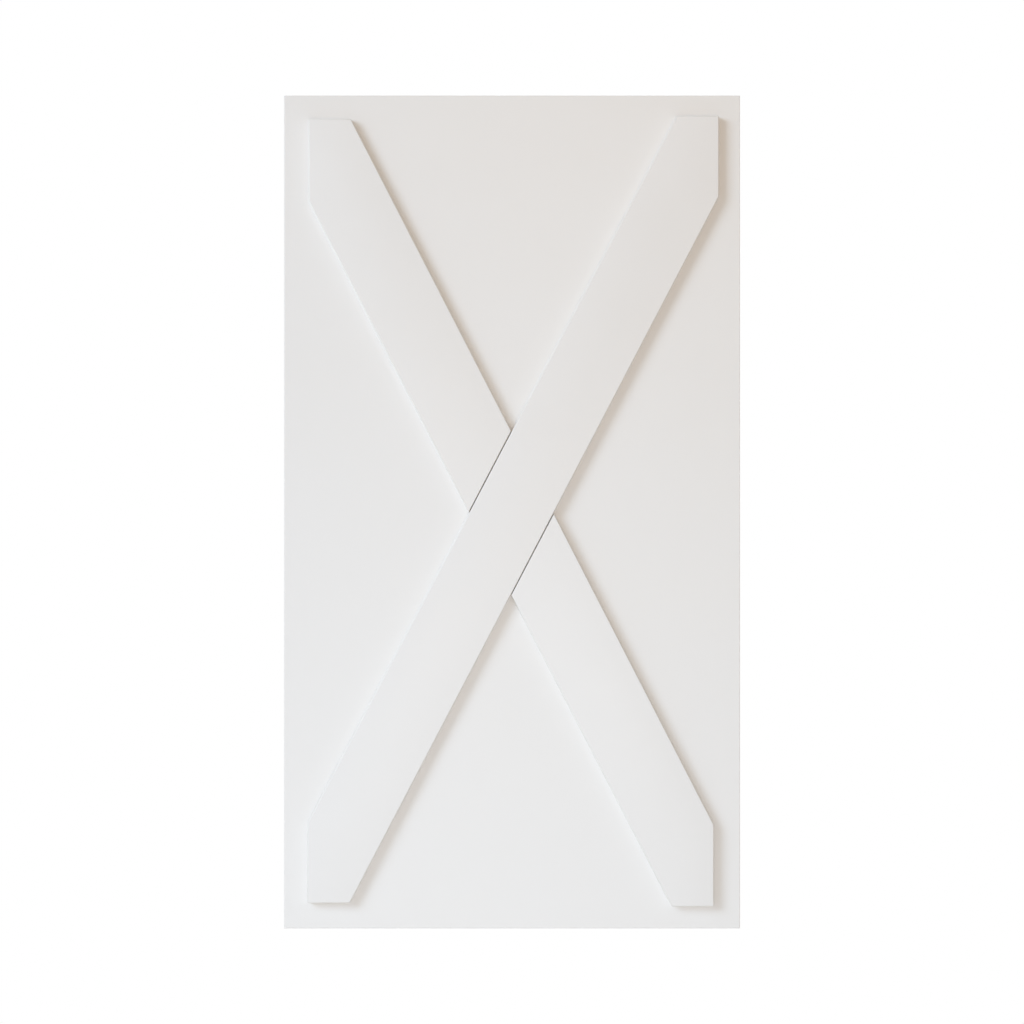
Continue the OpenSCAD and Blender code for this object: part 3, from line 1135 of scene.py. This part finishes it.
def seen_directly(graph: Graph) -> bpy.types.NodeSocket:
    """Return 1 for rays from the camera, by reflection or through glass, and 0 for the rest.

    Args:
        graph: The graph of the floor or of the surround.

    Returns:
        The mask's socket.
    """
    path = graph.add("LightPath").outputs
    seen = graph.calculate("MAXIMUM", path["Is Camera Ray"], path["Is Glossy Ray"])
    return graph.calculate("MAXIMUM", seen, path["Is Transmission Ray"])


@dataclass(frozen=True)
class Floor:
    """The pale floor in front of the door, below the camera's frame. It fades to white at its edges."""

    drop: float = 0.400
    width: float = 4.4
    depth: float = 3.0
    fade: float = 1.2
    back_fade: float = 0.15
    colour: Colour = (0.86, 0.86, 0.855)
    dim: float = 0.97
    cloud_scale: float = 3.0
    roughness: float = 0.7

    def fade_mask(self, graph: Graph) -> bpy.types.NodeSocket:
        """Return 0 in the floor's middle and 1 at its edges.

        Args:
            graph: The floor's graph.

        Returns:
            The mask's socket.
        """
        place = graph.add("SeparateXYZ", {"Vector": graph.add("TexCoord").outputs["Object"]}).outputs
        across = graph.calculate("ABSOLUTE", place["X"])
        sides = graph.ramp(across, self.width / 2 - self.fade, self.width / 2)
        front = graph.ramp(place["Y"], self.fade - self.depth, -self.depth)
        back = graph.ramp(place["Y"], -self.back_fade, 0.0)
        return graph.calculate("MAXIMUM", back, graph.calculate("MAXIMUM", front, sides))

    def material(self) -> bpy.types.Material:
        """Build the floor's matt paint, with a white fade that only shows directly.

        Returns:
            The material.
        """
        material = bpy.data.materials.new("pale_floor")
        material.use_nodes = True
        graph = Graph(material.node_tree)
        cloud = graph.add("TexNoise", {"Scale": self.cloud_scale}).outputs["Fac"]
        dim = rgba(tuple(self.dim * value for value in self.colour))
        paint = graph.add("BsdfPrincipled", {"Roughness": self.roughness})
        graph.feed(paint.inputs["Base Color"], graph.mix(cloud, dim, rgba(self.colour)))
        white = graph.add("Emission", {"Color": rgba(WHITE), "Strength": 1.0})
        shown = graph.calculate("MULTIPLY", seen_directly(graph), self.fade_mask(graph))
        graph.add("OutputMaterial", {"Surface": graph.blend(shown, paint, white)})
        return material

    def build(self) -> None:
        """Lay the floor."""
        low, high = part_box(LEAF_NODE)
        half = self.width / 2
        corners = ((-half, -self.depth), (half, -self.depth), (half, 0.0), (-half, 0.0))
        mesh = bmesh.new()
        mesh.faces.new([mesh.verts.new((x, y, 0.0)) for x, y in corners])
        floor = new_piece("floor", mesh)
        floor.location = ((low.x + high.x) / 2, CAD_BOX[1].y, low.z - self.drop)
        floor.data.materials.append(self.material())


@dataclass(frozen=True)
class Studio:
    """The camera, the lamps and the white surround."""

    distance: float = 4.0
    leaf_pixels: float = 456.0
    image_pixels: float = 1024.0
    sensor: float = 36.0
    # A cool key in a warm surround leaves the faces white and makes the shadows warm.
    ambient: float = 0.524
    ambient_colour: Colour = (1.0, 0.890, 0.781)
    lamps: tuple[SoftBox, ...] = (
        SoftBox(
            name="key",
            place=(-3.60, -3.90, 1.75),
            aim=(0.0, 0.0, 0.0),
            side=2.6,
            watts=159.0,
            colour=(0.680, 0.833, 1.0),
        ),
        SoftBox(
            name="low_beam",
            place=(0.0, -3.2, -0.45),
            aim=(0.0, 0.0, -0.87),
            side=0.8,
            watts=2.07,
            colour=(1.0, 0.985, 0.972),
            spread=math.radians(60),
        ),
        SoftBox(
            name="top_glow",
            place=(0.2, -3.2, 0.1),
            aim=(0.3, 0.0, 1.10),
            side=1.2,
            watts=0.97,
            colour=(1.0, 0.578, 0.163),
            spread=math.radians(45),
        ),
        SoftBox(
            name="back_fill",
            place=(0.5, 2.6, 0.8),
            aim=(0.0, 0.0, 0.0),
            side=1.8,
            watts=46.0,
            colour=(0.77, 0.875, 1.0),
        ),
    )

    @staticmethod
    def middle() -> Vector:
        """Return the middle of the leaf's front."""
        low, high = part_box(LEAF_NODE)
        return Vector(((low.x + high.x) / 2, low.y, (low.z + high.z) / 2))

    def camera(self) -> None:
        """Set the camera square on to the leaf, at the photograph's framing."""
        low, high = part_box(LEAF_NODE)
        width = (high.x - low.x) * self.image_pixels / self.leaf_pixels
        data = bpy.data.cameras.new("camera")
        data.sensor_width = self.sensor
        data.lens = self.sensor * self.distance / width
        camera = bpy.data.objects.new("camera", data)
        camera.location = self.middle() - BACK * self.distance
        camera.rotation_euler = (math.pi / 2, 0, 0)
        bpy.context.scene.collection.objects.link(camera)
        bpy.context.scene.camera = camera

    def surround(self) -> None:
        """Make the surround: white where it is seen directly, and a soft warm light elsewhere."""
        world = bpy.data.worlds.new("surround")
        world.use_nodes = True
        graph = Graph(world.node_tree)
        light = graph.add("Background", {"Color": rgba(self.ambient_colour), "Strength": self.ambient})
        white = graph.add("Background", {"Color": rgba(WHITE), "Strength": 1.0})
        graph.add("OutputWorld", {"Surface": graph.blend(seen_directly(graph), light, white)})
        bpy.context.scene.world = world

    def build(self) -> None:
        """Build the studio."""
        bpy.context.scene.view_settings.view_transform = "Standard"
        self.camera()
        self.surround()
        for lamp in self.lamps:
            lamp.build(self.middle())


def main() -> None:
    """Build the door and its studio."""
    logging.basicConfig(level=logging.INFO, format="%(message)s")
    wardrobe = Wardrobe()
    Leaf().build(wardrobe)
    PlankCross().build(wardrobe)
    PlankScrews().build(wardrobe)
    for place in Place:
        Hinge(place).build(wardrobe)
    Floor().build()
    Studio().build()


if __name__ == "__main__":
    main()
